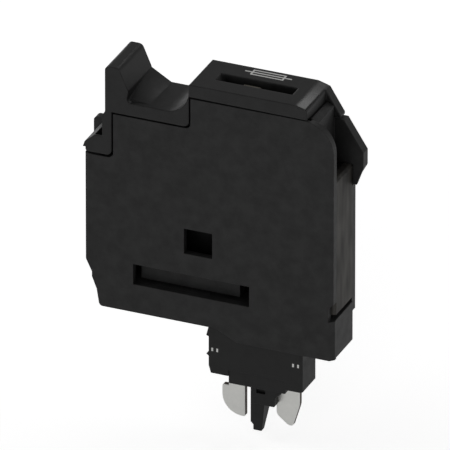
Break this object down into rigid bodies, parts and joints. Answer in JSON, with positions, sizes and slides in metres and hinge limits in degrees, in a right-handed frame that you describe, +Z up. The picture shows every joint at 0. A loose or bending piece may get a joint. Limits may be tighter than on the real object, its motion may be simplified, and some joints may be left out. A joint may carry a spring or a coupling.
{
  "type": "terminal block fuse plug",
  "caption": "Slim plug-in fuse holder for a modular terminal block, with a swing-up fuse lever, flat blades and a guide peg.",
  "frame": {"origin": "midway between the two blades, half way through the thickness, level with the underside of the foot", "axes": "+Z up from the blades to the lever, +X from the lever's hinge towards its free end, +Y from the front cover to the rear wall"},
  "size_m": [0.0302, 0.0062, 0.0401],
  "materials": {
    "housing_black": "black moulded polyamide, satin",
    "lever_black": "black moulded polyamide, satin",
    "strip_grey": "dark warm grey moulded polyamide, matt",
    "tinned_copper": "tin-plated copper sheet, soft sheen",
    "spring_steel": "bare spring steel strip",
    "bright_wire": "bright drawn wire",
    "nickel_cap": "nickel-plated brass, polished",
    "fuse_glass": "clear drawn glass tube",
    "fuse_wire": "fine drawn wire",
    "circuit_board": "pale glass-fibre laminate",
    "lamp_lens": "milky moulded resin",
    "component_dark": "dark moulded resin",
    "component_beige": "beige lacquer"
  },
  "bodies": {
    "housing": {"rear_shell": "housing_black", "side_cover": "housing_black", "side_strip": "strip_grey", "plug_foot": "housing_black", "foot_staples": "bright_wire", "contact_left": "tinned_copper", "contact_right": "tinned_copper", "cap_spring_left": "spring_steel", "cap_spring_right": "spring_steel"},
    "lever": {"fuse_lever": "lever_black", "fuse_glass": "fuse_glass", "fuse_wire": "fuse_wire", "fuse_cap_left": "nickel_cap", "fuse_cap_right": "nickel_cap", "lamp_board": "circuit_board", "lamp": "lamp_lens", "lamp_resistor": "component_beige", "lamp_diode": "component_dark", "lamp_leg_left": "spring_steel", "lamp_leg_right": "spring_steel"}
  },
  "joints": [
    {"name": "lever_hinge", "type": "hinge", "parent": "housing", "child": "lever", "pos_m": [-0.01775, 0, 0.0241], "axis": [0, -1, 0], "range_deg": [0, 90]}
  ]
}
